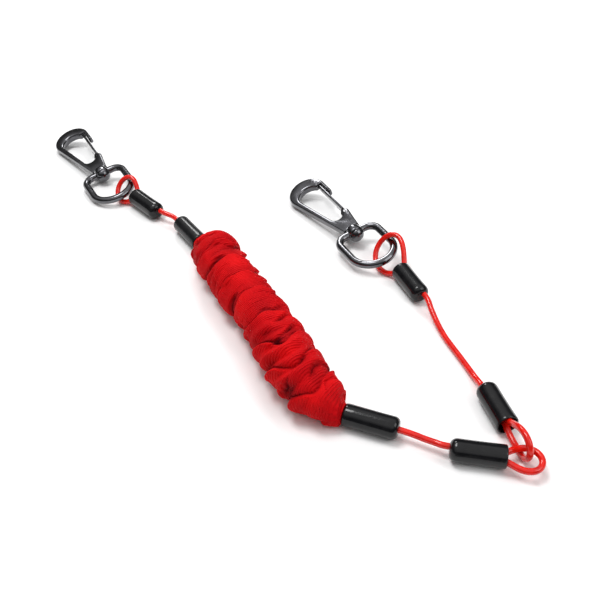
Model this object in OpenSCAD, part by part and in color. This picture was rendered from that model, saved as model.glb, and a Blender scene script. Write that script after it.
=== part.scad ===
/* [Cable] */
// Diameter over the plastic coat of the wire cable
cable_d = 3; // [2.8:0.1:3]

/* [Covers and caps] */
// Outer diameter of the moulded covers
cover_d = 10.5; // [10.4:0.1:11]
// Length of a cover over a cable loop
cover_len = 24; // [22:0.5:26]
// Length of a cap at an end of the webbing sleeve
cap_len = 25; // [24:0.5:28]
// Diameter of the cap at the short cable, which is the slimmer one
slim_cap_d = 10; // [9.8:0.1:10.5]

/* [Webbing sleeve] */
// Diameter of the gathered webbing between its folds
sleeve_d = 24; // [20:1:26]
// How far the folds stand out and in
fold_depth = 0.9; // [0:0.1:1.2]
// Distance from one fold to the next
fold_pitch = 15; // [10:1:20]
// Diameter of the elastic core
core_d = 6; // [5:0.5:6.5]

/* [Snap hook] */
// Thickness of the hook body
hook_thick = 4.8; // [4.6:0.2:6]
// Width of the hook body at its swivel end
base_w = 10; // [9.6:0.2:12]
// Radius of the round seat inside the bowl
seat_r = 7.2; // [6.8:0.1:7.3]
// Radius of the outside of the bowl
bowl_r = 11.8; // [11.6:0.1:12.2]
// Thickness of the gate, seen on the flat of the hook
gate_thick = 1.6; // [1.5:0.1:1.8]
// Width of the gate, across the flat of the hook
gate_w = 4; // [3.4:0.2:4.4]

/* [Swivel eye] */
// Diameter of the round bar of the eye
bar_d = 4.5; // [4:0.1:4.6]
// Outside width of the eye
eye_w = 29.5; // [29:0.5:31]
// Radius of the boss that the stud turns in
boss_r = 4.6; // [4.4:0.1:4.8]
// Radius of the stud's shaft
stud_r = 2.6; // [2.4:0.1:2.8]
// Radius of the stud's domed head
head_r = 4.2; // [4:0.1:4.4]

/* [Hidden] */
$fn = 64;

METAL = "#3c3d42";
STEEL = "#a9abb0";
RED = "#e0161c";
BLACK = "#161618";

// Everything lies on z = 0. A cover's or a cap's own height is its radius.
cable_r = cable_d / 2;
cover_r = cover_d / 2;
axis_z = cover_r;

// Where each cover's mouth is, and the way that its loop leaves it, in degrees from +X.
hook_mouth_a = [-64.3, 63.9, 133];
link_mouth_a = [123.5, -137.5, -10];
link_mouth_b = [127.5, -120, 285];
hook_mouth_b = [91, -9.5, 112];
// Where the cable leaves each sleeve cap, and the way that it leaves.
cap_end_a = [-34, 36.5, 124];
cap_end_b = [79.5, -122.5, -21];

function ahead(place) = [cos(place.z), sin(place.z), 0];
function right(place) = [sin(place.z), -cos(place.z), 0];
// A point given along the way out, to the right of it, and by its height above the ground
function spot(place, p) = [place.x, place.y, 0] + ahead(place) * p.x + right(place) * p.y + [0, 0, p.z];
function spots(place, points) = [for (p = points) spot(place, p)];
function reversed(list) = [for (i = [len(list) - 1:-1:0]) list[i]];

// ---- Swept shapes ----

function unit(v) = v / norm(v);
function tangent(path, i) = unit(path[min(i + 1, len(path) - 1)] - path[max(i - 1, 0)]);
function carried(side, t) = unit(side - (side * t) * t);
// One side vector for each point, carried along the path without twisting
function sides(path) = [
    for (i = 0, s = unit(cross(tangent(path, 0), [0, 0, 1])); i < len(path);
         i = i + 1, s = i < len(path) ? carried(s, tangent(path, i)) : s) s
];
function ring(centre, side, t, r, count) = let (up = cross(side, t))
    [for (k = [0:count - 1]) centre + r * (cos(360 * k / count) * side + sin(360 * k / count) * up)];
function flat(lists) = [for (l = lists) for (e = l) e];
// Rings centred on the path, each one square to the guide, which is a path with as many points
function tube_points(path, guide, radii, count) = let (s = sides(guide))
    flat([for (i = [0:len(path) - 1]) ring(path[i], s[i], tangent(guide, i), radii[i], count)]);
// The walls between ring after ring, of rings that start at point number first
function wall_faces(rings, count, first) = [
    for (i = [0:rings - 2]) for (k = [0:count - 1])
        let (n = (k + 1) % count, a = first + i * count, b = a + count)
        [a + k, a + n, b + n, b + k]
];
function turned_over(faces) = [for (f = faces) reversed(f)];

module tube(path, r, count) {
    radii = [for (p = path) r];
    last = (len(path) - 1) * count;
    start_face = [[for (k = [count - 1:-1:0]) k]];
    end_face = [[for (k = [0:count - 1]) last + k]];
    polyhedron(tube_points(path, path, radii, count),
        concat(wall_faces(len(path), count, 0), start_face, end_face), convexity = 10);
}

// A tube with a bore: the bore follows its own path, which has as many points as the outer one, and
// both are square to the bore's path.
module hollow_tube(path, radii, bore_path, bore_r, count) {
    rings = len(path);
    bore_first = rings * count;
    bore_radii = [for (p = bore_path) bore_r];
    last = (rings - 1) * count;
    start_face = [for (k = [0:count - 1]) let (n = (k + 1) % count) [n, k, bore_first + k, bore_first + n]];
    end_face = [for (k = [0:count - 1]) let (n = (k + 1) % count)
        [last + k, last + n, bore_first + last + n, bore_first + last + k]];
    polyhedron(
        concat(tube_points(path, bore_path, radii, count),
            tube_points(bore_path, bore_path, bore_radii, count)),
        concat(wall_faces(rings, count, 0), turned_over(wall_faces(rings, count, bore_first)),
            start_face, end_face), convexity = 10);
}

// A smooth curve through hand-set points, with some steps between one point and the next
function bend(a, b, c, d, t) = 0.5 * (2 * b + (c - a) * t + (2 * a - 5 * b + 4 * c - d) * t * t
    + (3 * b - a - 3 * c + d) * t * t * t);
function smooth(points, steps) = let (last = len(points) - 1) concat(
    [for (i = [0:last - 1]) for (k = [0:steps - 1])
        bend(points[max(i - 1, 0)], points[i], points[i + 1], points[min(i + 2, last)], k / steps)],
    [points[last]]);

// ---- Cables, with the covers and ferrules over their loops ----

// Half the distance between the two bores of a ferrule, and where it sits behind the mouth
bore_gap = 1.65;
ferrule_front = 4;
ferrule_len = 14;
ferrule_r = 2.6;
// How a ferrule's two bores lean: level for a flat loop, upright for a standing one
hook_lean = 30;
flat_lean = 0;
tall_lean = 90;
link_lean_b = tall_lean;
mouth_r = 4.4;
edge_r = 2.5;
hole_play = 0.05;

// The bore on the right of the way out has side 1, and the one on the left has side -1.
function bore_spot(place, lean, side, back) =
    spot(place, [-back, side * bore_gap * cos(lean), axis_z + side * bore_gap * sin(lean)]);
ferrule_back = ferrule_front + ferrule_len;
function dead_end(place, lean, side) =
    [bore_spot(place, lean, side, ferrule_back), bore_spot(place, lean, side, ferrule_front)];
function way_through(place, lean, side) =
    [bore_spot(place, lean, side, ferrule_front), bore_spot(place, lean, side, cover_len + 2)];

// Each loop's points run from its right bore to its left one: along the way out, to the right, height.
hook_loop_a = [
    [0, 2.3, 6.6], [2.8, 3.5, 8.6], [5.8, 4.6, 10.7], [8.7, 4.9, 12.5], [11.6, 3.7, 12.7], [13.9, 1.4, 11],
    [14.7, -1.3, 8.1], [13.7, -4, 5.2], [11.1, -5.8, 3], [8.2, -6.3, 1.8], [5.2, -5.6, 1.5],
    [2.4, -4.1, 2.3], [0, -2.4, 3.9]
];
hook_loop_b = [
    [0, 2.3, 6.6], [3, 3.6, 8.8], [6.5, 4.9, 11.4], [10, 5.8, 13.8], [13.5, 6.2, 15.3],
    [17, 5.4, 16], [20, 2.6, 14.9], [21.4, -1.2, 11], [20.2, -4.5, 6.8], [17, -6.7, 3.6],
    [12.5, -7.4, 1.8], [8.5, -7.2, 1.5], [5, -6, 1.5], [2.2, -4, 2.4], [0, -2.4, 3.9]
];
flat_loop = [
    [0, 2.7, 5.25], [2.5, 4.2, 5.25], [5.5, 5.8, 5.25], [8.5, 6.3, 5.25], [11.6, 5.6, 5.25],
    [14, 3.3, 5.25], [14.9, 0, 5.25], [14, -3.3, 5.25], [11.6, -5.6, 5.25], [8.5, -6.3, 5.25],
    [5.5, -5.8, 5.25], [2.5, -4.2, 5.25], [0, -2.7, 5.25]
];
tall_loop = [
    [0, 0, 8], [3, 0, 9.7], [6.5, 0, 12], [10, 0, 13.4], [13.3, 0, 13.7], [16.4, 0, 12.9],
    [18.6, 0, 10.6], [19.4, 0, 7.6], [18.6, 0, 4.6], [16.4, 0, 2.3], [13.3, 0, 1.5], [9.5, 0, 1.5],
    [6, 0, 1.6], [3, 0, 2], [0, 0, 2.8]
];

// The free stretches between a cap or a cover and the next cover
short_free = [[-39.5, 43, 5.2]];
link_free = [[85, -124.7, 5], [91, -127.7, 4.8], [96, -130.1, 5]];
long_free = [[119, -88, 2.2], [116, -78.5, 1.5], [112.5, -69, 1.5], [109, -59.5, 1.5],
    [106.3, -49.5, 2], [103.9, -40, 4]];

// Depths inside a sleeve cap, from the end where the cable leaves it
cap_wall = 3;
splice_len = 12;
splice_cable_depth = 6;
splice_core_depth = 5;
function cap_spot(place, depth) = spot(place, [-depth, 0, axis_z]);

function short_route() = concat(
    [cap_spot(cap_end_a, cap_wall + splice_cable_depth), cap_spot(cap_end_a, 0)], short_free,
    reversed(way_through(hook_mouth_a, hook_lean, 1)), spots(hook_mouth_a, hook_loop_a),
    reversed(dead_end(hook_mouth_a, hook_lean, -1)));
function link_route() = concat(
    [cap_spot(cap_end_b, cap_wall + splice_cable_depth), cap_spot(cap_end_b, 0)], link_free,
    reversed(way_through(link_mouth_a, flat_lean, -1)), spots(link_mouth_a, reversed(flat_loop)),
    reversed(dead_end(link_mouth_a, flat_lean, 1)));
function long_route() = concat(
    dead_end(link_mouth_b, link_lean_b, 1), spots(link_mouth_b, tall_loop),
    way_through(link_mouth_b, link_lean_b, -1), long_free,
    reversed(way_through(hook_mouth_b, hook_lean, 1)), spots(hook_mouth_b, hook_loop_b),
    reversed(dead_end(hook_mouth_b, hook_lean, -1)));

module short_cable() { color(RED) tube(short_route(), cable_r, 8); }
module link_cable() { color(RED) tube(link_route(), cable_r, 8); }
module long_cable() { color(RED) tube(long_route(), cable_r, 8); }

// Stands a shape that was made along +Z on its side, with its start at the mouth, pointing back from it
module behind(place, lean) {
    translate([place.x, place.y, axis_z]) rotate([0, 0, place.z]) rotate([-lean, 0, 0])
        rotate([0, -90, 0]) children();
}

// The outline of a ferrule with two barrels side by side, without its bores
module double_barrel(r, length) {
    for (side = [-1, 1]) translate([0, side * bore_gap, 0]) cylinder(r = r, h = length);
    translate([-r, -bore_gap, 0]) cube([2 * r, 2 * bore_gap, length]);
}

// A cylinder along +Z whose far edge is rounded
module round_ended(r, length, edge) {
    cylinder(r = r, h = length - edge);
    cylinder(r = r - edge, h = length);
    translate([0, 0, length - edge]) rotate_extrude() translate([r - edge, 0]) circle(r = edge);
}

// standing_side says which bore the long end of the cable leaves by: 1 is right and -1 is left.
module loop_cover(place, lean, standing_side) {
    color(BLACK) behind(place, lean) difference() {
        round_ended(cover_r, cover_len, edge_r);
        translate([0, 0, -1]) cylinder(r = mouth_r, h = ferrule_front + 1);
        translate([0, 0, ferrule_front - 0.01]) double_barrel(ferrule_r, ferrule_len + 0.01);
        translate([0, -standing_side * bore_gap, 0]) cylinder(r = cable_r + hole_play, h = cover_len + 1);
    }
}
module loop_ferrule(place, lean) {
    color(STEEL) behind(place, lean) difference() {
        translate([0, 0, ferrule_front]) double_barrel(ferrule_r, ferrule_len);
        for (side = [-1, 1]) translate([0, side * bore_gap, 0]) cylinder(r = cable_r, h = cover_len);
    }
}

module hook_cover_a() { loop_cover(hook_mouth_a, hook_lean, 1); }
module link_cover_a() { loop_cover(link_mouth_a, flat_lean, -1); }
module link_cover_b() { loop_cover(link_mouth_b, link_lean_b, -1); }
module hook_cover_b() { loop_cover(hook_mouth_b, hook_lean, 1); }
module hook_ferrule_a() { loop_ferrule(hook_mouth_a, hook_lean); }
module link_ferrule_a() { loop_ferrule(link_mouth_a, flat_lean); }
module link_ferrule_b() { loop_ferrule(link_mouth_b, link_lean_b); }
module hook_ferrule_b() { loop_ferrule(hook_mouth_b, hook_lean); }

// ---- Sleeve caps, and the ferrules that splice a cable to the elastic core ----

core_r = core_d / 2;
splice_r = 3.8;
webbing_bore_r = 3.9;
webbing_end_r = 4.3;
cap_bore_r = 4.35;
webbing_depth = 12;

module sleeve_cap(place, d) {
    color(BLACK) behind(place, 0) difference() {
        translate([0, 0, cap_len]) mirror([0, 0, 1]) round_ended(d / 2, cap_len, edge_r);
        translate([0, 0, cap_wall]) cylinder(r = cap_bore_r, h = cap_len);
        translate([0, 0, -1]) cylinder(r = cable_r + hole_play, h = cap_wall + 2);
    }
}
module splice_ferrule(place) {
    color(STEEL) behind(place, 0) translate([0, 0, cap_wall]) difference() {
        cylinder(r = splice_r, h = splice_len);
        translate([0, 0, -1]) cylinder(r = cable_r, h = splice_cable_depth + 1);
        translate([0, 0, splice_len - splice_core_depth]) cylinder(r = core_r, h = splice_core_depth + 1);
    }
}
module sleeve_cap_a() { sleeve_cap(cap_end_a, slim_cap_d); }
module sleeve_cap_b() { sleeve_cap(cap_end_b, cover_d); }
module splice_ferrule_a() { splice_ferrule(cap_end_a); }
module splice_ferrule_b() { splice_ferrule(cap_end_b); }

// ---- Elastic core and webbing sleeve ----

// The line that the core takes between the two caps' mouths
core_free = [
    [-14.5, 7], [-8.5, -5.5], [-2, -18.5], [5.5, -32.5], [13, -46], [19.5, -59], [26, -72.5],
    [32, -85.5], [38.5, -97.5], [46, -106.8]
];
// The core runs straight on for this far outside each cap, so that it lies straight inside the cap.
straight_out = 4;
function core_route(depth) = concat(
    [cap_spot(cap_end_a, depth), cap_spot(cap_end_a, cap_len), cap_spot(cap_end_a, cap_len + straight_out)],
    [for (p = core_free) [p.x, p.y, axis_z]],
    [cap_spot(cap_end_b, cap_len + straight_out), cap_spot(cap_end_b, cap_len), cap_spot(cap_end_b, depth)]);
sleeve_steps = 3;
route_steps = 2;
core_depth = cap_wall + splice_len - splice_core_depth;

// How full the sleeve is, from 0 at a cap to 1, at some part u from 0 to 1 of its length
swell_a = 0.15;
swell_b = 0.13;
cap_part = 0.075;
function fullness(x) = x <= 0 ? 0 : x >= 1 ? 1 : sin(90 * x);
function sleeve_r(u, length) = let (
    full = min(fullness((u - cap_part) / swell_a), fullness((1 - cap_part - u) / swell_b)))
    webbing_end_r + full * (sleeve_d / 2 - webbing_end_r + fold_depth * sin(360 * u * length / fold_pitch));
// The webbing rests on the ground, so it is as high as it is thick, and never lower than the caps.
function lifted(p, r) = [p.x, p.y, max(axis_z, r)];

module elastic_core() {
    color(STEEL) tube(smooth(core_route(core_depth), route_steps), core_r, 12);
}
module webbing_sleeve() {
    bore = smooth(core_route(webbing_depth), sleeve_steps);
    rings = len(bore);
    length = 190;
    radii = [for (i = [0:rings - 1]) sleeve_r(i / (rings - 1), length)];
    outer = [for (i = [0:rings - 1]) lifted(bore[i], radii[i])];
    color(RED) hollow_tube(outer, radii, bore, webbing_bore_r, 20);
}

// ---- Swivel snap hook, along +X from its swivel end, with its back at +Y ----

bar_r = bar_d / 2;
rail_y = eye_w / 2 - bar_r;
crossbar_x = -2;
shoulder_r = 6;
arc_x = -20;
boss_front = 0.6;
boss_back = -4.4;
shaft_play = 0.08;
// The seat's centre is the place that the hook hangs from.
seat = [43.6, 3.4];
bowl = [47.5, 3.4];
base_x = 1;
tenon_r = 1.7;
tenon_len = 9;
// The narrow end of the opening, and the pivot that the gate turns on
throat = [16.2, 1.3];
throat_r = 3.8;
pivot = [15.2, -4.4];
lug_r = 2.6;
slot_w = 3;
knuckle_r = 2.3;
pin_r = 0.8;
pin_play = 0.08;
// The gate closes against the inside of the nose.
gate_inner_y = -4;
gate_play = 0.35;
// Above this height, in the plane of the hook, the way in past the gate is part of the opening.
way_in_y = -1;
nose_inner_y = gate_inner_y - gate_thick - gate_play;
nose_outer_y = bowl.y - bowl_r;
nose_x = 37;
gate_tip_x = 46.6;
notch_x = 47.6;
gate_root_x = 18.6;
wire_r = 0.25;

// Where each eye's round end is: this far out of the cover's mouth, and to the right of it
eye_place_a = [18.3, -5.2];
eye_place_b = [20.1, -7.9];
// How each eye and hook lies: its direction, the height of its base, its nose-down pitch, and
// the rolls of the eye and of the hook about the stud. A roll below zero lifts the gate's side.
pose_a = [120, 6.3, -1.2, -12, -19];
pose_b = [118, 7.9, 0, -12, -22];

module at_hook(mouth, place, pose, roll) {
    eye = spot(mouth, [place.x, place.y, 0]);
    direction = pose[0];
    translate([eye.x - arc_x * cos(direction), eye.y - arc_x * sin(direction), pose[1]])
        rotate([0, 0, direction]) rotate([0, pose[2], 0]) rotate([roll, 0, 0]) children();
}
module eye_on_a() { at_hook(hook_mouth_a, eye_place_a, pose_a, pose_a[3]) children(); }
module hook_on_a() { at_hook(hook_mouth_a, eye_place_a, pose_a, pose_a[4]) children(); }
module eye_on_b() { at_hook(hook_mouth_b, eye_place_b, pose_b, pose_b[3]) children(); }
module hook_on_b() { at_hook(hook_mouth_b, eye_place_b, pose_b, pose_b[4]) children(); }

// A flat plate of the hook's thickness, or thicker by spare on both sides
module plate(points, spare) {
    translate([0, 0, -hook_thick / 2 - spare]) linear_extrude(hook_thick + 2 * spare) polygon(points);
}
module disc(centre, r, spare) {
    translate([centre.x, centre.y, -hook_thick / 2 - spare]) cylinder(r = r, h = hook_thick + 2 * spare);
}
// The point where the outer common tangent of two circles touches the circle at c, on its +Y side
// for side 1, or on its -Y side for side -1
function touch(c, r, c2, r2, side) = let (
    d = c2 - c, lean = atan2(d.y, d.x), swing = acos((r - r2) / norm(d)))
    c + r * [cos(lean + side * swing), sin(lean + side * swing)];

module opening() {
    disc(seat, seat_r, 1);
    disc(throat, throat_r, 1);
    plate([
        touch(throat, throat_r, seat, seat_r, 1), touch(throat, throat_r, seat, seat_r, -1),
        touch(seat, seat_r, throat, throat_r, 1), touch(seat, seat_r, throat, throat_r, -1)
    ], 1);
}

module hook_body() {
    nose_mid_y = (nose_inner_y + nose_outer_y) / 2;
    nose_r = (nose_inner_y - nose_outer_y) / 2;
    back_corner = [base_x, base_w / 2];
    difference() {
        union() {
            difference() {
                union() {
                    disc(bowl, bowl_r, 0);
                    plate([
                        back_corner, [base_x, -base_w / 2], [pivot.x, pivot.y - lug_r],
                        [nose_x, nose_outer_y], [bowl.x, nose_outer_y], bowl,
                        touch(bowl, bowl_r, back_corner, 0, -1)
                    ], 0);
                }
                opening();
                plate([[pivot.x, -20], [nose_x + nose_r, -20],
                    [nose_x + nose_r, way_in_y], [pivot.x, way_in_y]], 1);
                plate([[pivot.x, nose_inner_y], [notch_x, nose_inner_y],
                    [notch_x, way_in_y], [pivot.x, way_in_y]], 1);
            }
            disc(pivot, lug_r, 0);
            disc([nose_x + nose_r, nose_mid_y], nose_r, 0);
        }
        translate([pivot.x, pivot.y, -slot_w / 2]) cylinder(r = lug_r + 0.4, h = slot_w);
        translate([pivot.x, pivot.y, -hook_thick]) cylinder(r = pin_r, h = 2 * hook_thick);
        translate([base_x - 1, 0, 0]) rotate([0, 90, 0]) cylinder(r = tenon_r, h = tenon_len + 1);
    }
}

module gate() {
    knuckle_z = -1.2;
    knuckle_w = 1.3;
    difference() {
        union() {
            translate([pivot.x, pivot.y, knuckle_z]) cylinder(r = knuckle_r, h = knuckle_w);
            translate([pivot.x, gate_inner_y - gate_thick, knuckle_z])
                cube([gate_root_x - pivot.x + 1, gate_thick, knuckle_w]);
            translate([gate_root_x, gate_inner_y - gate_thick, -gate_w / 2])
                cube([gate_tip_x - gate_root_x, gate_thick, gate_w]);
        }
        translate([pivot.x, pivot.y, -hook_thick]) cylinder(r = pin_r + pin_play, h = 2 * hook_thick);
    }
}

module gate_pin() {
    translate([pivot.x, pivot.y, -hook_thick / 2]) cylinder(r = pin_r, h = hook_thick);
}

// Two turns of wire round the pin, with one leg on the gate and one against the hook
module gate_spring() {
    coil_r = pin_r + 0.2 + wire_r;
    first_z = 0.55;
    turn_pitch = 1.8 * wire_r;
    leg_z = first_z + turn_pitch;
    leg_r = 0.8 * wire_r;
    translate([pivot.x, pivot.y, 0]) {
        for (turn = [0, 1]) translate([0, 0, first_z + turn * turn_pitch])
            rotate_extrude() translate([coil_r, 0]) circle(r = wire_r);
        translate([0, coil_r, leg_z]) rotate([0, 90, 0]) cylinder(r = leg_r, h = 7.5);
        translate([-coil_r, 0, first_z]) rotate([-90, 0, 0]) cylinder(r = leg_r, h = 1.6);
    }
}

module swivel_stud() {
    head_x = boss_back - 0.4;
    dome_r = 5;
    head_len = 3;
    rotate([0, 90, 0]) {
        translate([0, 0, head_x]) cylinder(r = stud_r, h = base_x - head_x);
        translate([0, 0, base_x - 0.01]) cylinder(r = tenon_r, h = tenon_len - 0.5);
        intersection() {
            translate([0, 0, head_x - head_len]) cylinder(r = head_r, h = head_len);
            translate([0, 0, head_x - head_len + dome_r]) sphere(r = dome_r);
        }
    }
}

module swivel_eye() {
    straight_x = crossbar_x - shoulder_r;
    crossbar_half = rail_y - shoulder_r;
    difference() {
        union() {
            translate([crossbar_x, -crossbar_half, 0]) rotate([-90, 0, 0])
                cylinder(r = bar_r, h = 2 * crossbar_half);
            for (side = [-1, 1]) {
                translate([arc_x, side * rail_y, 0]) rotate([0, 90, 0])
                    cylinder(r = bar_r, h = straight_x - arc_x);
                translate([straight_x, side * crossbar_half, 0]) rotate([0, 0, side > 0 ? 0 : -90])
                    rotate_extrude(angle = 90) translate([shoulder_r, 0]) circle(r = bar_r);
            }
            translate([arc_x, 0, 0]) rotate([0, 0, 90])
                rotate_extrude(angle = 180) translate([rail_y, 0]) circle(r = bar_r);
            translate([boss_back, 0, 0]) rotate([0, 90, 0]) cylinder(r = boss_r, h = boss_front - boss_back);
        }
        translate([boss_back - 1, 0, 0]) rotate([0, 90, 0])
            cylinder(r = stud_r + shaft_play, h = boss_front - boss_back + 2);
    }
}

module hook_body_a() { color(METAL) hook_on_a() hook_body(); }
module gate_a() { color(METAL) hook_on_a() gate(); }
module gate_pin_a() { color(STEEL) hook_on_a() gate_pin(); }
module gate_spring_a() { color(STEEL) hook_on_a() gate_spring(); }
module swivel_stud_a() { color(METAL) hook_on_a() swivel_stud(); }
module swivel_eye_a() { color(METAL) eye_on_a() swivel_eye(); }
module hook_body_b() { color(METAL) hook_on_b() hook_body(); }
module gate_b() { color(METAL) hook_on_b() gate(); }
module gate_pin_b() { color(STEEL) hook_on_b() gate_pin(); }
module gate_spring_b() { color(STEEL) hook_on_b() gate_spring(); }
module swivel_stud_b() { color(METAL) hook_on_b() swivel_stud(); }
module swivel_eye_b() { color(METAL) eye_on_b() swivel_eye(); }

hook_body_a();
gate_a();
gate_pin_a();
gate_spring_a();
swivel_stud_a();
swivel_eye_a();
hook_body_b();
gate_b();
gate_pin_b();
gate_spring_b();
swivel_stud_b();
swivel_eye_b();
hook_cover_a();
hook_ferrule_a();
link_cover_a();
link_ferrule_a();
link_cover_b();
link_ferrule_b();
hook_cover_b();
hook_ferrule_b();
sleeve_cap_a();
splice_ferrule_a();
sleeve_cap_b();
splice_ferrule_b();
short_cable();
link_cable();
long_cable();
webbing_sleeve();
elastic_core();
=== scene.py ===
import math

import bmesh
import bpy
from mathutils import Matrix, Vector, noise


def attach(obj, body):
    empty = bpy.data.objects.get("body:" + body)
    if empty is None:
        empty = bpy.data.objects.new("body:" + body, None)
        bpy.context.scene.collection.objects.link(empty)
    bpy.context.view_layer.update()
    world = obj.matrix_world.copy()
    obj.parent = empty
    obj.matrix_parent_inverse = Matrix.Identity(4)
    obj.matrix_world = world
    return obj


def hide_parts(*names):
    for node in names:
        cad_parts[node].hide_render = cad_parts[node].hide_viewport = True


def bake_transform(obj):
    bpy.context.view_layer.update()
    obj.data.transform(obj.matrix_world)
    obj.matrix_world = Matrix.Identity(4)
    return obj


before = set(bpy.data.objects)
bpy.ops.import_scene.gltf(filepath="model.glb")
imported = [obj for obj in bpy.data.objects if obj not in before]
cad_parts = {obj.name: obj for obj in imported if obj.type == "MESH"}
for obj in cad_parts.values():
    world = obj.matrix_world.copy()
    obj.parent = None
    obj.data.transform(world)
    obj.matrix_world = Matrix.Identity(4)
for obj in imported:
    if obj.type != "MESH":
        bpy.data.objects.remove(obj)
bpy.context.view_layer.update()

MM = 0.001
scene = bpy.context.scene


# ---- Camera ----

def add_camera():
    data = bpy.data.cameras.new("camera")
    data.lens = 48
    data.sensor_width = 36
    data.clip_start = 0.01
    camera = bpy.data.objects.new("camera", data)
    scene.collection.objects.link(camera)
    target = Vector((36.5, -28.5, 0)) * MM
    camera.location = Vector((36.5, -352.8, 272.1)) * MM
    camera.rotation_euler = (target - camera.location).to_track_quat("-Z", "Y").to_euler()
    scene.camera = camera


add_camera()


# ---- Materials ----

def new_material(name, colour, roughness, metallic=0.0):
    m = bpy.data.materials.new(name)
    m.use_nodes = True
    nodes = m.node_tree.nodes
    shader = nodes["Principled BSDF"]
    shader.inputs["Base Color"].default_value = (*colour, 1)
    shader.inputs["Roughness"].default_value = roughness
    shader.inputs["Metallic"].default_value = metallic
    return m, nodes, m.node_tree.links, shader


def add_noise(nodes, links, scale):
    """A noise texture on the object's own coordinates."""
    place = nodes.new("ShaderNodeTexCoord")
    texture = nodes.new("ShaderNodeTexNoise")
    texture.inputs["Scale"].default_value = scale
    texture.inputs["Detail"].default_value = 4.0
    links.new(place.outputs["Object"], texture.inputs["Vector"])
    return texture


def varied(m, nodes, links, shader, dark, light, scale, bump, bump_scale, rough):
    """Varies the colour from dark to light and the roughness between two values, with a fine grain."""
    texture = add_noise(nodes, links, scale)
    ramp = nodes.new("ShaderNodeValToRGB")
    ramp.color_ramp.elements[0].position = 0.3
    ramp.color_ramp.elements[1].position = 0.7
    ramp.color_ramp.elements[0].color = (*dark, 1)
    ramp.color_ramp.elements[1].color = (*light, 1)
    links.new(texture.outputs["Fac"], ramp.inputs["Fac"])
    links.new(ramp.outputs["Color"], shader.inputs["Base Color"])
    grain = add_noise(nodes, links, bump_scale)
    lumps = nodes.new("ShaderNodeBump")
    lumps.inputs["Strength"].default_value = bump
    lumps.inputs["Distance"].default_value = 0.0003
    links.new(grain.outputs["Fac"], lumps.inputs["Height"])
    links.new(lumps.outputs["Normal"], shader.inputs["Normal"])
    spread = nodes.new("ShaderNodeMapRange")
    spread.inputs["To Min"].default_value = rough[0]
    spread.inputs["To Max"].default_value = rough[1]
    links.new(texture.outputs["Fac"], spread.inputs["Value"])
    links.new(spread.outputs["Result"], shader.inputs["Roughness"])
    return m


def dark_metal():
    parts = new_material("dark_metal", (0.15, 0.15, 0.16), 0.2, 1.0)
    shader = parts[3]
    shader.inputs["Coat Weight"].default_value = 0.6
    shader.inputs["Coat Roughness"].default_value = 0.06
    return varied(*parts, (0.075, 0.075, 0.082), (0.125, 0.125, 0.135), 180, 0.12, 900, (0.1, 0.24))


def plain_metal(name, colour, roughness):
    parts = new_material(name, colour, roughness, 1.0)
    return varied(*parts, [c * 0.8 for c in colour], colour, 400, 0.15, 1500, (roughness, roughness + 0.15))


def black_plastic(name, rough):
    parts = new_material(name, (0.005, 0.005, 0.006), rough)
    shader = parts[3]
    shader.inputs["Specular IOR Level"].default_value = 0.2
    shader.inputs["Coat Weight"].default_value = 0.3
    shader.inputs["Coat Roughness"].default_value = 0.04
    return varied(*parts, (0.003, 0.003, 0.004), (0.008, 0.008, 0.009), 250, 0.1, 1200, (rough, rough + 0.12))


def red_coat():
    parts = new_material("red_coat", (0.6, 0.012, 0.012), 0.12)
    shader = parts[3]
    shader.inputs["Specular IOR Level"].default_value = 0.25
    shader.inputs["Coat Weight"].default_value = 0.45
    shader.inputs["Coat Roughness"].default_value = 0.04
    return varied(*parts, (0.62, 0.006, 0.003), (0.82, 0.014, 0.006), 300, 0.05, 900, (0.1, 0.22))


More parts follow.
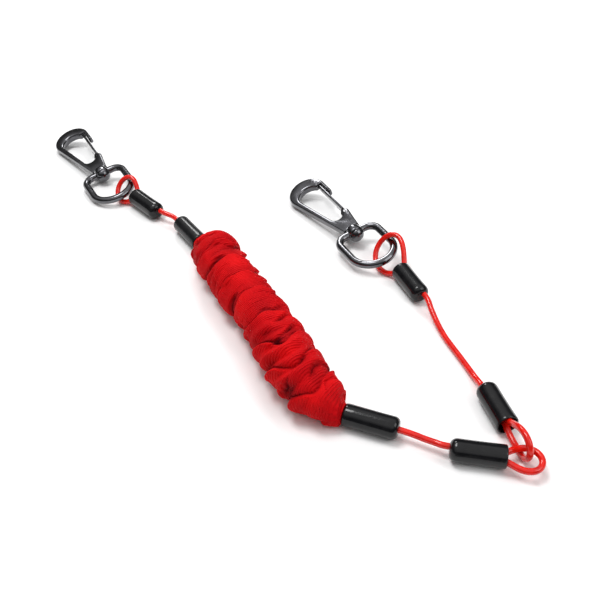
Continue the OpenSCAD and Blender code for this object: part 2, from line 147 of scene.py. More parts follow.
def webbing_cloth():
    m, nodes, links, shader = new_material("webbing_cloth", (0.7, 0.006, 0.006), 0.75)
    shader.inputs["Specular IOR Level"].default_value = 0.08
    place = nodes.new("ShaderNodeTexCoord")
    ribs = nodes.new("ShaderNodeTexWave")
    ribs.wave_type = "BANDS"
    ribs.bands_direction = "Y"
    ribs.inputs["Scale"].default_value = 34
    ribs.inputs["Distortion"].default_value = 0.5
    ribs.inputs["Detail"].default_value = 1.0
    links.new(place.outputs["UV"], ribs.inputs["Vector"])
    weave = nodes.new("ShaderNodeTexNoise")
    weave.inputs["Scale"].default_value = 900
    links.new(place.outputs["Object"], weave.inputs["Vector"])
    both = nodes.new("ShaderNodeMath")
    both.operation = "MULTIPLY_ADD"
    both.inputs[1].default_value = 0.35
    links.new(weave.outputs["Fac"], both.inputs[0])
    links.new(ribs.outputs["Fac"], both.inputs[2])
    lumps = nodes.new("ShaderNodeBump")
    lumps.inputs["Strength"].default_value = 0.7
    lumps.inputs["Distance"].default_value = 0.0004
    links.new(both.outputs["Value"], lumps.inputs["Height"])
    links.new(lumps.outputs["Normal"], shader.inputs["Normal"])
    shades = nodes.new("ShaderNodeTexNoise")
    shades.inputs["Scale"].default_value = 60
    links.new(place.outputs["Object"], shades.inputs["Vector"])
    ramp = nodes.new("ShaderNodeValToRGB")
    ramp.color_ramp.elements[0].position = 0.3
    ramp.color_ramp.elements[1].position = 0.72
    ramp.color_ramp.elements[0].color = (0.52, 0.001, 0.004, 1)
    ramp.color_ramp.elements[1].color = (0.76, 0.005, 0.007, 1)
    links.new(shades.outputs["Fac"], ramp.inputs["Fac"])
    # Painted shade: the 'crease' attribute mixes the base colour towards a near-black red in deep folds,
    # adding to the shade that the light itself casts there
    crease = nodes.new("ShaderNodeAttribute")
    crease.attribute_name = "crease"
    shaded = nodes.new("ShaderNodeMix")
    shaded.data_type = "RGBA"
    colour_a = [i for i in shaded.inputs if i.name == "A" and i.type == "RGBA"][0]
    painted_shade_colour = [i for i in shaded.inputs if i.name == "B" and i.type == "RGBA"][0]
    painted_shade_colour.default_value = (0.09, 0.0, 0.003, 1)
    links.new(crease.outputs["Fac"], shaded.inputs["Factor"])
    links.new(ramp.outputs["Color"], colour_a)
    links.new([o for o in shaded.outputs if o.type == "RGBA"][0], shader.inputs["Base Color"])
    return m


def floor_white():
    m, _, _, shader = new_material("floor_white", (0.95, 0.95, 0.95), 0.9)
    shader.inputs["Specular IOR Level"].default_value = 0.1
    return m


METAL = dark_metal()
STEEL = plain_metal("plain_steel", (0.6, 0.6, 0.61), 0.3)
SWAGE = plain_metal("swaged_aluminium", (0.7, 0.7, 0.71), 0.35)
GLOSS = black_plastic("black_gloss", 0.1)
SATIN = black_plastic("black_satin", 0.32)
COAT = red_coat()
CLOTH = webbing_cloth()
CORE = plain_metal("core_cover", (0.7, 0.68, 0.62), 0.7)
CORE.node_tree.nodes["Principled BSDF"].inputs["Metallic"].default_value = 0


# ---- Meshes ----

def mesh_object(name, points, faces, material, smooth=True):
    mesh = bpy.data.meshes.new(name)
    mesh.from_pydata([tuple(p) for p in points], [], faces)
    mesh.validate()
    mesh.update()
    if smooth:
        for polygon in mesh.polygons:
            polygon.use_smooth = True
    mesh.materials.append(material)
    obj = bpy.data.objects.new(name, mesh)
    scene.collection.objects.link(obj)
    return obj


def unit(v):
    return v / v.length


def catmull(points, steps):
    """A smooth open curve through the points, with that many steps between one and the next."""
    out = []
    n = len(points)
    for i in range(n - 1):
        a, b, c, d = points[max(i - 1, 0)], points[i], points[i + 1], points[min(i + 2, n - 1)]
        for k in range(steps):
            t = k / steps
            out.append(0.5 * (2 * b + (c - a) * t + (2 * a - 5 * b + 4 * c - d) * t * t
                              + (3 * b - a - 3 * c + d) * t ** 3))
    out.append(points[-1])
    return out


def spaced(path, step):
    """Points along the path, that far apart."""
    out, left = [path[0]], step
    for a, b in zip(path, path[1:]):
        run = (b - a).length
        while left <= run:
            out.append(a + (b - a) * (left / run))
            left += step
        left -= run
    return out


def frames_along(path, closed=False):
    """(tangent, side, up) at each point, carried along the path without twisting."""
    n = len(path)
    tangents = []
    for i in range(n):
        a = path[(i - 1) % n] if closed else path[max(i - 1, 0)]
        b = path[(i + 1) % n] if closed else path[min(i + 1, n - 1)]
        tangents.append(unit(b - a))
    side = unit(tangents[0].cross(Vector((0, 0, 1))))
    out = []
    for t in tangents:
        side = unit(side - side.dot(t) * t)
        out.append((t, side, side.cross(t)))
    return out


def sweep(name, path, section, material, closed=False):
    """A tube along the path; section(i) gives the outline's (side, up) pairs at the path's point i."""
    frames = frames_along(path, closed)
    count = len(section(0))
    points, faces = [], []
    for i, p in enumerate(path):
        _, side, up = frames[i]
        points += [p + side * a + up * b for a, b in section(i)]
    rings = len(path)
    for i in range(rings if closed else rings - 1):
        j = (i + 1) % rings
        for k in range(count):
            n = (k + 1) % count
            faces.append((i * count + k, i * count + n, j * count + n, j * count + k))
    if not closed:
        faces.append(tuple(range(count - 1, -1, -1)))
        faces.append(tuple((rings - 1) * count + k for k in range(count)))
    return mesh_object(name, points, faces, material)


def circle(r, count):
    turns = [2 * math.pi * k / count for k in range(count)]
    return [(r * math.cos(a), r * math.sin(a)) for a in turns]


def lathe(name, profile, material, count=64, ripple=None):
    """Turns (along, radius) pairs round +X; an end that is off the axis is closed by a disc."""
    points, faces = [], []
    n = len(profile)
    for x, r in profile:
        for k in range(count):
            a = 2 * math.pi * k / count
            q = r if ripple is None else ripple(x, r, a)
            points.append(Vector((x, q * math.cos(a), q * math.sin(a))))
    for i in range(n - 1):
        for k in range(count):
            m = (k + 1) % count
            faces.append((i * count + k, (i + 1) * count + k, (i + 1) * count + m, i * count + m))
    for ring, order in ((0, range(count)), (n - 1, range(count - 1, -1, -1))):
        if profile[ring][1] > 1e-7:
            faces.append(tuple(ring * count + k for k in order))
    obj = mesh_object(name, points, faces, material)
    bm = bmesh.new()
    bm.from_mesh(obj.data)
    bmesh.ops.remove_doubles(bm, verts=bm.verts, dist=1e-7)
    bmesh.ops.recalc_face_normals(bm, faces=bm.faces)
    bm.to_mesh(obj.data)
    bm.free()
    return obj


def arc(centre, r, start, stop, steps):
    return [(centre[0] + r * math.cos(math.radians(start + (stop - start) * i / steps)),
             centre[1] + r * math.sin(math.radians(start + (stop - start) * i / steps)))
            for i in range(steps + 1)]


def cut_plate(name, outline, thick, edge, material):
    """A flat plate of that outline with rounded edges, in the plane z = 0."""
    curve = bpy.data.curves.new(name, "CURVE")
    curve.dimensions = "2D"
    curve.fill_mode = "BOTH"
    curve.extrude = thick / 2 - edge
    curve.bevel_depth = edge
    curve.bevel_resolution = 3
    curve.offset = -edge
    spline = curve.splines.new("POLY")
    spline.points.add(len(outline) - 1)
    for p, (x, y) in zip(spline.points, outline):
        p.co = (x, y, 0, 1)
    spline.use_cyclic_u = True
    made = bpy.data.objects.new(name + "_line", curve)
    scene.collection.objects.link(made)
    bpy.context.view_layer.update()
    depsgraph = bpy.context.evaluated_depsgraph_get()
    mesh = bpy.data.meshes.new_from_object(made.evaluated_get(depsgraph))
    bpy.data.objects.remove(made)
    mesh.materials.clear()
    mesh.materials.append(material)
    obj = bpy.data.objects.new(name, mesh)
    scene.collection.objects.link(obj)
    bm = bmesh.new()
    bm.from_mesh(mesh)
    bmesh.ops.remove_doubles(bm, verts=bm.verts, dist=1e-6)
    bm.to_mesh(mesh)
    bm.free()
    for polygon in mesh.polygons:
        polygon.use_smooth = True
    mesh.set_sharp_from_angle(angle=math.radians(40))
    return obj


def put(obj, matrix):
    obj.data.transform(matrix)
    obj.data.update()
    return obj


def finish_piece(obj, body, slot, *nodes):
    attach(obj, body)
    if nodes:
        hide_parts(*nodes)


# ---- The layout in millimetres, as in the part's source ----

# Each place is where a mouth or an end is on the ground, and the way that the cable leaves it.
hook_mouth_a = (-64.3, 63.9, 133)
link_mouth_a = (123.5, -137.5, -10)
link_mouth_b = (127.5, -120, 285)
hook_mouth_b = (91, -9.5, 112)
cap_end_a = (-34, 36.5, 124)
cap_end_b = (79.5, -122.5, -21)
cable_r, core_r, slim_cap_r = 1.5, 3, 5.0
cover_r, cover_len, cap_len, straight_out = 5.25, 24, 25, 4
bore_gap, ferrule_front, ferrule_len = 1.65, 4, 14
hook_lean, flat_lean, tall_lean = 30, 0, 90


def ahead(place):
    h = math.radians(place[2])
    return Vector((math.cos(h), math.sin(h), 0))


def right(place):
    h = math.radians(place[2])
    return Vector((math.sin(h), -math.cos(h), 0))


def spot(place, x, y, z):
    """A point given along the way out, to the right of it, and by its height above the ground."""
    return Vector((place[0], place[1], 0)) + ahead(place) * x + right(place) * y + Vector((0, 0, z))


def bore_spot(place, lean, side, back):
    a = math.radians(lean)
    return spot(place, -back, side * bore_gap * math.cos(a), cover_r + side * bore_gap * math.sin(a))


def dead_end(place, lean, side):
    """Where a cable ends inside a ferrule."""
    return [bore_spot(place, lean, side, ferrule_front + ferrule_len),
            bore_spot(place, lean, side, ferrule_front)]


def way_through(place, lean, side):
    """Where a cable passes through a ferrule and out at the back of its cover."""
    return [bore_spot(place, lean, side, ferrule_front), bore_spot(place, lean, side, cover_len + 2)]


hook_loop_a = [
    (0, 2.3, 6.6), (2.8, 3.5, 8.6), (5.8, 4.6, 10.7), (8.7, 4.9, 12.5), (11.6, 3.7, 12.7), (13.9, 1.4, 11),
    (14.7, -1.3, 8.1), (13.7, -4, 5.2), (11.1, -5.8, 3), (8.2, -6.3, 1.8), (5.2, -5.6, 1.5),
    (2.4, -4.1, 2.3), (0, -2.4, 3.9)]
hook_loop_b = [
    (0, 2.3, 6.6), (3, 3.6, 8.8), (6.5, 4.9, 11.4), (10, 5.8, 13.8), (13.5, 6.2, 15.3),
    (17, 5.4, 16), (20, 2.6, 14.9), (21.4, -1.2, 11), (20.2, -4.5, 6.8), (17, -6.7, 3.6),
    (12.5, -7.4, 1.8), (8.5, -7.2, 1.5), (5, -6, 1.5), (2.2, -4, 2.4), (0, -2.4, 3.9)]
flat_loop = [
    (0, 2.7, 5.25), (2.5, 4.2, 5.25), (5.5, 5.8, 5.25), (8.5, 6.3, 5.25), (11.6, 5.6, 5.25),
    (14, 3.3, 5.25), (14.9, 0, 5.25), (14, -3.3, 5.25), (11.6, -5.6, 5.25), (8.5, -6.3, 5.25),
    (5.5, -5.8, 5.25), (2.5, -4.2, 5.25), (0, -2.7, 5.25)]
tall_loop = [
    (0, 0, 8), (3, 0, 9.7), (6.5, 0, 12), (10, 0, 13.4), (13.3, 0, 13.7), (16.4, 0, 12.9),
    (18.6, 0, 10.6), (19.4, 0, 7.6), (18.6, 0, 4.6), (16.4, 0, 2.3), (13.3, 0, 1.5), (9.5, 0, 1.5),
    (6, 0, 1.6), (3, 0, 2), (0, 0, 2.8)]
short_free = [(-39.5, 43, 5.2)]
link_free = [(85, -124.7, 5), (91, -127.7, 4.8), (96, -130.1, 5)]
long_free = [(119, -88, 2.2), (116, -78.5, 1.5), (112.5, -69, 1.5), (109, -59.5, 1.5),
             (106.3, -49.5, 2), (103.9, -40, 4)]
core_free = [(-14.5, 7), (-8.5, -5.5), (-2, -18.5), (5.5, -32.5), (13, -46), (19.5, -59), (26, -72.5),
             (32, -85.5), (38.5, -97.5), (46, -106.8)]


def along(place, points):
    return [spot(place, *p) for p in points]


def vectors(points):
    return [Vector(p) for p in points]


def cap_spot(place, depth):
    return spot(place, -depth, 0, cover_r)


short_route = ([cap_spot(cap_end_a, 9), cap_spot(cap_end_a, 0)] + vectors(short_free)
               + way_through(hook_mouth_a, hook_lean, 1)[::-1] + along(hook_mouth_a, hook_loop_a)
               + dead_end(hook_mouth_a, hook_lean, -1)[::-1])
link_route = ([cap_spot(cap_end_b, 9), cap_spot(cap_end_b, 0)] + vectors(link_free)
              + way_through(link_mouth_a, flat_lean, -1)[::-1] + along(link_mouth_a, flat_loop[::-1])
              + dead_end(link_mouth_a, flat_lean, 1)[::-1])
long_route = (dead_end(link_mouth_b, tall_lean, 1) + along(link_mouth_b, tall_loop)
              + way_through(link_mouth_b, tall_lean, -1) + vectors(long_free)
              + way_through(hook_mouth_b, hook_lean, 1)[::-1] + along(hook_mouth_b, hook_loop_b)
              + dead_end(hook_mouth_b, hook_lean, -1)[::-1])


# ---- Cables ----

EASE_STEP = 0.8
EASE_PASSES = 7


def eased(points):
    """The route with more points, evenly spaced and without kinks, and never below the ground."""
    out = spaced(catmull(points, 8), EASE_STEP) + [points[-1]]
    for _ in range(EASE_PASSES):
        out = [out[0]] + [(a + b * 2 + c) / 4 for a, b, c in zip(out, out[1:], out[2:])] + [out[-1]]
    return [Vector((p.x, p.y, max(p.z, cable_r))) for p in out]


def add_cable(name, route, body, node):
    """A round coated cable swept along the eased route."""
    path = [p * MM for p in eased(route)]
    outline = circle(cable_r * MM, 20)
    obj = sweep(name, path, lambda i: outline, COAT)
    finish_piece(obj, body, "cable_coat", node)


add_cable("short_cable_coat", short_route, "near_leg", "short_cable")
add_cable("link_cable_coat", link_route, "middle_leg", "link_cable")
add_cable("long_cable_coat", long_route, "far_leg", "long_cable")


# ---- Covers and caps ----

def rounded_end(length, r, edge, steps=8):
    """(along, radius) pairs of a rounded shoulder that ends at that length."""
    return [(length - edge + edge * math.sin(math.radians(90 * i / steps)),
             r - edge + edge * math.cos(math.radians(90 * i / steps))) for i in range(steps + 1)]


def behind(place, lean):
    """From a shape along +X that points back from the mouth."""
    turn = (Matrix.Rotation(math.radians(place[2] + 180), 4, "Z")
            @ Matrix.Rotation(math.radians(lean), 4, "X"))
    return Matrix.Translation(Vector((place[0], place[1], cover_r)) * MM) @ turn


def scaled(profile):
    return [(x * MM, r * MM) for x, r in profile]


def add_cover(name, place, lean, body, node, material, flutes=0):
    profile = [(ferrule_front, 0), (ferrule_front, 3.9), (0.9, 4.3), (0.25, 4.45), (0, 4.75), (0.05, 5.0),
               (0.45, 5.22), (1.2, 5.25), (4, 5.2), (8, 5.16), (12, 5.14), (16, 5.16), (19, 5.2)]
    profile += rounded_end(cover_len, 5.2, 3.2)
    profile += [(cover_len, 1.2), (cover_len, 0)]

    def ripple(x, r, a):
        if not flutes or r < 4.9 * MM:
            return r
        return r * (1 - 0.012 * (0.5 + 0.5 * math.cos(flutes * a)))

    obj = lathe(name, scaled(profile), material, 96, ripple if flutes else None)
    put(obj, behind(place, lean))
    finish_piece(obj, body, "cover_plastic", node)


add_cover("cover_short_hook", hook_mouth_a, hook_lean, "near_leg", "hook_cover_a", GLOSS)
add_cover("cover_link_inner", link_mouth_a, flat_lean, "middle_leg", "link_cover_a", GLOSS, flutes=14)
add_cover("cover_link_outer", link_mouth_b, tall_lean, "far_leg", "link_cover_b", GLOSS)
add_cover("cover_long_hook", hook_mouth_b, hook_lean, "far_leg", "hook_cover_b", GLOSS)


def add_cap(name, place, r, body, node, material):
    edge, steps = 2.6, 8
    turns = [math.radians(90 * i / steps) for i in range(steps + 1)]
    nose = [(edge - edge * math.cos(a), r - edge + edge * math.sin(a)) for a in turns]
    profile = [(0, 0), (0, 1.2)] + nose
    profile += [(8, r - 0.05), (14, r - 0.02), (20, r), (23.6, r), (24.5, r - 0.1), (24.9, r - 0.3),
                (25, r - 0.5), (24.8, r - 0.62), (23, 4.4), (14, 4.35), (14, 0)]
    obj = lathe(name, scaled(profile), material, 96)
    put(obj, behind(place, 0))
    finish_piece(obj, body, "cover_plastic", node)


add_cap("cap_near_leg", cap_end_a, slim_cap_r, "near_leg", "sleeve_cap_a", SATIN)
add_cap("cap_middle_leg", cap_end_b, cover_r, "middle_leg", "sleeve_cap_b", GLOSS)


# ---- Elastic core and webbing sleeve ----

def core_route(depth):
    """The core's route, which starts and ends at that depth inside the caps."""
    return ([cap_spot(cap_end_a, depth), cap_spot(cap_end_a, cap_len),
             cap_spot(cap_end_a, cap_len + straight_out)]
            + [Vector((x, y, cover_r)) for x, y in core_free]
            + [cap_spot(cap_end_b, cap_len + straight_out), cap_spot(cap_end_b, cap_len),
               cap_spot(cap_end_b, depth)])


def smoothstep(x):
    x = min(max(x, 0), 1)
    return x * x * (3 - 2 * x)


def bump_at(x, centre, width):
    return math.exp(-((x - centre) / width) ** 2)


def rough(x, y, z, seed):
    return noise.noise(Vector((x + 31.7 * seed, y - 17.3 * seed, z + 5.1 * seed)))


def pleat(x, sharp):
    """Rounded bulges with narrow creases between them: 0 in a crease and 1 on a bulge."""
    return abs(math.sin(math.pi * x)) ** sharp


def shingle(x):
    """A fold that lies over the next one: a steep lip after each crease, and a long fall to the next."""
    f = x - math.floor(x)
    return smoothstep(f / 0.17) * (1 - 0.7 * f ** 1.7)


def blended(obj):
    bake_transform(obj)


def add_core():
    path = [p * MM for p in catmull(core_route(10), 6)]
    outline = circle(core_r * MM, 24)
    obj = sweep("core_cord", path, lambda i: outline, CORE)
    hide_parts("elastic_core")
    blended(obj)


add_core()

# Points round the webbing, and the distance from one ring of them to the next
WEB_AROUND = 176
WEB_STEP = 0.36
# How far the webbing is tucked into each cap, and its radius there and where it is full
TUCK = 13
NECK_R, SWELL = 4.2, 8.0
# Length and depth of the long, the crossing and the small folds
LONG_FOLD, LONG_DEPTH = 14.5, 3.0
CROSS_FOLD, CROSS_DEPTH = 9.8, 2.2
SMALL_FOLD, SMALL_DEPTH = 5.2, 1.1
# The depth of a fold at which the shade painted into its crease is darkest
PAINTED_SHADE_DEPTH = 3.9
# The frill at the lower end: where along the webbing, how wide, and the length of its pleats
FRILL_AT, FRILL_WIDTH, FRILL_FOLD = 138, 22, 7.2
# Below this height the webbing flattens towards the ground, and this is the lowest that it gets
REST_Z, LOWEST_Z = 1.2, 0.15


def web_radius(s, total):
    """The radius of the gathered bundle at a distance s from its start inside the first cap."""
    a, b = s - TUCK, total - TUCK - s
    near = math.sin(math.pi / 2 * min(max(a, 0) / 25, 1))
    far = 0.7 * math.sin(math.pi / 2 * min(max(b, 0) / 8, 1)) + 0.3 * smoothstep((b - 10) / 8)
    full = max(min(near, far), 0)
    return NECK_R + full * SWELL, full


def add_webbing():
    """The gathered tube: folds that overlap and cross, under low noise, resting on the ground, with shade
    painted into the colour of its deep creases.
    """
    path = spaced(catmull(core_route(12), 10), WEB_STEP)
    total = WEB_STEP * (len(path) - 1)
    frames = frames_along(path)
    points, faces, along_cloth, creases = [], [], [], []
    for i, p in enumerate(path):
        s = WEB_STEP * i
        _, side, up = frames[i]
        base, full = web_radius(s, total)
        frill = bump_at(s, FRILL_AT, FRILL_WIDTH) * full
        lean_over = 0.8 * frill
        lift = max(base + 0.1 * full - 0.2, cover_r) - cover_r
        for k in range(WEB_AROUND):
            a = 2 * math.pi * k / WEB_AROUND
            ca, sa = math.cos(a), math.sin(a)
            warp = (7.5 * rough(ca * 0.8, sa * 0.8, s / 33, 1) + 5.4 * math.sin(a + 0.5 + s / 52)
                    + 1.1 * rough(ca * 1.6, sa * 1.6, s / 12, 2))
            cross = (7 * rough(ca * 0.8, sa * 0.8, s / 30, 3) - 5.6 * math.sin(a - 0.6 + s / 70)
                     + 0.8 * rough(ca * 1.8, sa * 1.8, s / 10, 10))
            long = shingle((s + warp) / LONG_FOLD)
            crossing = shingle((total - s - cross) / CROSS_FOLD)
            small = pleat((s + 0.6 * warp + 0.9) / SMALL_FOLD, 0.5)
            strength = 0.45 + 1.1 * (0.5 + 0.5 * rough(ca * 1.1, sa * 1.1, s / 20, 5))
            some = min(max(0.0, 0.5 + 2.2 * rough(ca * 1.1, sa * 1.1, s / 14, 8)), 1.3)
            few = min(max(0.0, 0.25 + 2.2 * rough(ca * 1.3, sa * 1.3, s / 10, 9)), 1.2)
            dip = (LONG_DEPTH * strength * (1 - long) + CROSS_DEPTH * some * (1 - crossing)
                   + SMALL_DEPTH * few * (1 - small))
            r = base - full * dip
            r += full * (1.7 + 1.2 * rough(ca * 0.8, sa * 0.8, s / 19, 6))
            # Painted shade: the colour of a crease darkens with the fold's depth, squared, and is darkest at
            # the depth set above
            creases.append(min(1.0, full * (dip / PAINTED_SHADE_DEPTH) ** 2))
            r += (1 - full) * 0.28 * math.cos(11 * a + 2.2 * rough(ca, sa, 0, 7)) * min(full * 6 + 0.15, 1)
            towards = max(0.0, ca * 0.75 + sa * 0.65)
            r += frill * towards * (3.4 * pleat((s + 0.5 * warp) / FRILL_FOLD, 1.5) - 1.1)
            q = p + side * (r * ca + lean_over) + up * (r * sa)
            z = q.z + lift
            if z < REST_Z:
                z = LOWEST_Z + 1.05 * math.exp((z - REST_Z) / 1.05)
            points.append(Vector((q.x, q.y, z)) * MM)
        along_cloth.append(s)
    rings = len(path)
    for i in range(rings - 1):
        for k in range(WEB_AROUND):
            n = (k + 1) % WEB_AROUND
            near, far = i * WEB_AROUND, (i + 1) * WEB_AROUND
            faces.append((near + k, near + n, far + n, far + k))
    obj = mesh_object("webbing_cloth_tube", points, faces, CLOTH)
    layer = obj.data.uv_layers.new(name="cloth")
    for loop in obj.data.loops:
        i, k = divmod(loop.vertex_index, WEB_AROUND)
        layer.data[loop.index].uv = (k / WEB_AROUND, along_cloth[i] / 100)
    # The painted crease shade is kept on the mesh as a point attribute, which the cloth's material reads
    depth = obj.data.attributes.new("crease", "FLOAT", "POINT")
    depth.data.foreach_set("value", creases)
    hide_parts("webbing_sleeve")
    blended(obj)


add_webbing()


# ---- Snap hooks ----

# The hook's measures are in millimetres: its swivel end is at base_x, and its bowl is towards +X.

def line_circle_touch(c, r, c2, r2, side):
    """The angle at which the line that touches both circles touches the first."""
    dx, dy = c2[0] - c[0], c2[1] - c[1]
    lean = math.atan2(dy, dx)
    swing = math.acos((r - r2) / math.hypot(dx, dy))
    return math.degrees(lean + side * swing)


base_x, base_w, hook_thick = 1.0, 10.0, 4.8
bowl, bowl_r, seat, seat_r = (47.5, 3.4), 11.8, (43.6, 3.4), 7.2
throat, throat_r, pivot, lug_r = (16.2, 1.3), 3.8, (15.2, -4.4), 2.6
gate_inner_y, gate_thick, gate_w, gate_play = -4.0, 1.6, 4.0, 0.35
gate_root_x, gate_tip_x, notch_x, nose_x = 18.6, 46.6, 47.6, 37.0
nose_inner = gate_inner_y - gate_thick - gate_play
nose_outer = bowl[1] - bowl_r
eye_w, bar_r, crossbar_x, shoulder_r, arc_x = 29.5, 2.25, -2.0, 6.0, -20.0
rail_y = eye_w / 2 - bar_r


def hook_outline():
    back = (base_x, base_w / 2)
    out_angle = line_circle_touch(bowl, bowl_r, back, 0, -1)
    start = out_angle if out_angle > 0 else out_angle + 360
    points = [back]
    points += arc(bowl, bowl_r, start, -90, 60)
    nose_r = (nose_inner - nose_outer) / 2
    points += arc((nose_x + nose_r, nose_outer + nose_r), nose_r, 270, 90, 14)
    points += [(notch_x, nose_inner)]
    entry = -math.degrees(math.acos((notch_x - seat[0]) / seat_r))
    up_angle = line_circle_touch(seat, seat_r, throat, throat_r, -1)
    up_angle = up_angle if up_angle > 0 else up_angle + 360
    points += arc(seat, seat_r, entry, up_angle, 44)
    points += arc(throat, throat_r, up_angle, 262, 24)
    points += arc(pivot, lug_r, 88, -100, 20)
    points += [(base_x, -base_w / 2)]
    return [(x * MM, y * MM) for x, y in points]


def eye_path():
    """The middle of the eye's bar: a straight crossbar, two shoulders, two rails and a half circle."""
    points = []
    half = rail_y - shoulder_r
    straight = crossbar_x - shoulder_r
    points += [Vector((crossbar_x, -half + 2 * half * i / 8, 0)) for i in range(9)]
    for i in range(1, 13):
        a = math.radians(90 * i / 12)
        points.append(Vector((straight + shoulder_r * math.cos(a), half + shoulder_r * math.sin(a), 0)))
    points += [Vector((straight + (arc_x - straight) * i / 5, rail_y, 0)) for i in range(1, 5)]
    for i in range(0, 37):
        a = math.radians(90 + 180 * i / 36)
        points.append(Vector((arc_x + rail_y * math.cos(a), rail_y * math.sin(a), 0)))
    points += [Vector((arc_x + (straight - arc_x) * i / 5, -rail_y, 0)) for i in range(1, 5)]
    for i in range(0, 12):
        a = math.radians(-90 + 90 * i / 12)
        points.append(Vector((straight + shoulder_r * math.cos(a), -half + shoulder_r * math.sin(a), 0)))
    return [p * MM for p in points]


def bevelled_section(r, corner):
    """An eight-sided outline: each corner is three points on the bar's radius, some degrees apart."""
    out = []
    for k in range(8):
        mid = math.radians(45 * k + 22.5)
        for d in (-corner, 0, corner):
            a = mid + math.radians(d)
            out.append((r * math.cos(a), r * math.sin(a)))
    return out


def place_matrix(mouth, eye_place, pose, roll):
    eye = spot(mouth, eye_place[0], eye_place[1], 0)
    d = math.radians(pose[0])
    base = Vector((eye.x - arc_x * math.cos(d), eye.y - arc_x * math.sin(d), pose[1])) * MM
    return (Matrix.Translation(base) @ Matrix.Rotation(d, 4, "Z")
            @ Matrix.Rotation(math.radians(pose[2]), 4, "Y") @ Matrix.Rotation(math.radians(roll), 4, "X"))


def add_spring(s, hook):
    """Two turns round the pin: one leg stays with the hook and the long one rides on the gate."""
    coil_r, first_z, last_z, steps = 1.25, 0.55, 1.0, 72
    path = [Vector((-coil_r, -1.6 + 0.4 * i, first_z)) for i in range(4)]
    for i in range(steps + 1):
        a = math.radians(180 - 810 * i / steps)
        z = first_z + (last_z - first_z) * i / steps
        path.append(Vector((coil_r * math.cos(a), coil_r * math.sin(a), z)))
    path += [Vector((0.5 * i, coil_r, last_z)) for i in range(1, 16)]
    outline = circle(0.22 * MM, 8)
    middle = Vector((pivot[0], pivot[1], 0))
    wire = sweep("gate_spring_wire_" + s, [(middle + p) * MM for p in path], lambda i: outline, STEEL)
    put(wire, hook)
    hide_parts("gate_spring_" + s)
    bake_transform(wire)


def add_hook(s, mouth, eye_place, pose):
    """pose is the direction, the height, the pitch, and the roll of the eye and of the hook."""
    hook = place_matrix(mouth, eye_place, pose, pose[4])
    eye = place_matrix(mouth, eye_place, pose, pose[3])
    body = cut_plate("hook_casting_" + s, hook_outline(), hook_thick * MM, 1.3 * MM, METAL)
    finish_piece(put(body, hook), "snap_" + s, "dark_metal", "hook_body_" + s)
    # the gate: a bar with rounded edges and a knuckle on the pin
    inner, outer = gate_inner_y, gate_inner_y - gate_thick
    blade = [(gate_root_x, outer), (gate_tip_x - 0.5, outer), (gate_tip_x, outer + 0.5),
             (gate_tip_x, inner - 0.4), (gate_tip_x - 0.4, inner), (gate_root_x, inner)]
    bar = cut_plate("gate_bar_" + s, [(x * MM, y * MM) for x, y in blade], gate_w * MM, 0.45 * MM, METAL)
    finish_piece(put(bar, hook), "latch_" + s, "dark_metal", "gate_" + s)
    knuckle = [(pivot[0] + 4.2, outer)] + [(pivot[0] + 4.2, inner)] + arc(pivot, 2.3, 60, 300, 24)
    hub = cut_plate("gate_hub_" + s, [(x * MM, y * MM) for x, y in knuckle], 1.3 * MM, 0.15 * MM, METAL)
    put(hub, Matrix.Translation(Vector((0, 0, -0.55 * MM))))
    finish_piece(put(hub, hook), "latch_" + s, "dark_metal")
    add_spring(s, hook)
    # the stud's domed head and shaft
    head = [(-7.8, 0), (-7.7, 1.0), (-7.4, 1.95), (-6.9, 2.85), (-6.3, 3.55), (-5.7, 4.05), (-5.4, 4.2),
            (-5.0, 4.2), (-4.8, 4.0), (-4.8, 2.6), (0.98, 2.6), (0.98, 0)]
    stud = lathe("stud_head_" + s, scaled(head), METAL, 64)
    finish_piece(put(stud, hook), "snap_" + s, "dark_metal", "swivel_stud_" + s)
    # the eye: a bevelled bar bent to a D, with the boss that the stud turns in
    section = bevelled_section(bar_r * MM, 9)
    loop = sweep("eye_bar_" + s, eye_path(), lambda i: section, METAL, closed=True)
    loop.data.set_sharp_from_angle(angle=math.radians(28))
    finish_piece(put(loop, eye), "eye_" + s, "dark_metal", "swivel_eye_" + s)
    ring = [(0.6, 2.7), (0.6, 4.0), (0.2, 4.5), (-0.3, 4.6), (-3.6, 4.6), (-4.1, 4.4), (-4.4, 3.9),
            (-4.4, 2.7)]
    boss = lathe("eye_boss_" + s, scaled(ring), METAL, 64)
    finish_piece(put(boss, eye), "eye_" + s, "dark_metal")


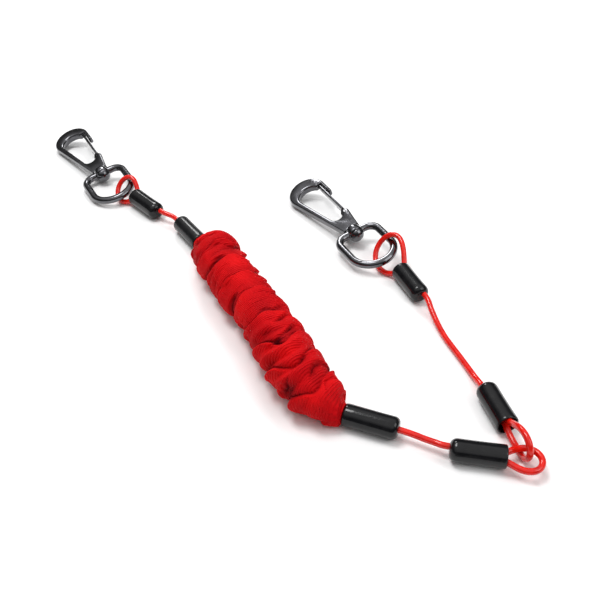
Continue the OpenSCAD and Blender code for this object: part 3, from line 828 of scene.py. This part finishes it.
add_hook("a", hook_mouth_a, (18.3, -5.2), (120, 6.3, -1.2, -12, -19))
add_hook("b", hook_mouth_b, (20.1, -7.9), (118, 7.9, 0, -12, -22))


# ---- Finishes of the CAD nodes that show ----

def finish_node(node, material):
    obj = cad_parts[node]
    obj.data.materials.clear()
    obj.data.materials.append(material)


for s in "ab":
    finish_node("gate_pin_" + s, STEEL)
    finish_node("hook_ferrule_" + s, SWAGE)
    finish_node("link_ferrule_" + s, SWAGE)
    finish_node("splice_ferrule_" + s, SWAGE)


# ---- Floor and light ----

def add_stage():
    """A pale floor, a world that is white above and grey below, and three soft lamps."""
    floor = mesh_object("floor", [Vector(p) for p in ((-3, -3, 0), (3, -3, 0), (3, 3, 0), (-3, 3, 0))],
                        [(0, 1, 2, 3)], floor_white(), smooth=False)
    floor.location.z = -0.0002
    world = bpy.data.worlds.new("world")
    world.use_nodes = True
    nodes, links = world.node_tree.nodes, world.node_tree.links
    place = nodes.new("ShaderNodeTexCoord")
    split = nodes.new("ShaderNodeSeparateXYZ")
    ramp = nodes.new("ShaderNodeValToRGB")
    ramp.color_ramp.elements[0].position = 0.5
    ramp.color_ramp.elements[1].position = 0.84
    ramp.color_ramp.elements[0].color = (0.1, 0.1, 0.1, 1)
    ramp.color_ramp.elements[1].color = (1, 1, 1, 1)
    links.new(place.outputs["Generated"], split.inputs["Vector"])
    links.new(split.outputs["Z"], ramp.inputs["Fac"])
    links.new(ramp.outputs["Color"], nodes["Background"].inputs["Color"])
    nodes["Background"].inputs["Strength"].default_value = 1.0
    scene.world = world
    scene.view_settings.view_transform = "Standard"
    for name, position, size, power in (
            ("key", (-0.2, 0.1, 0.85), 0.3, 3.6), ("fill", (0.7, -0.3, 0.6), 0.5, 2.2),
            ("back", (-0.15, 0.8, 0.65), 0.25, 3)):
        data = bpy.data.lights.new(name, "AREA")
        data.shape = "SQUARE"
        data.size = size
        data.energy = power
        lamp = bpy.data.objects.new(name, data)
        scene.collection.objects.link(lamp)
        lamp.location = position
        lamp.rotation_euler = (Vector((0, 0, 0)) - lamp.location).to_track_quat("-Z", "Y").to_euler()


add_stage()
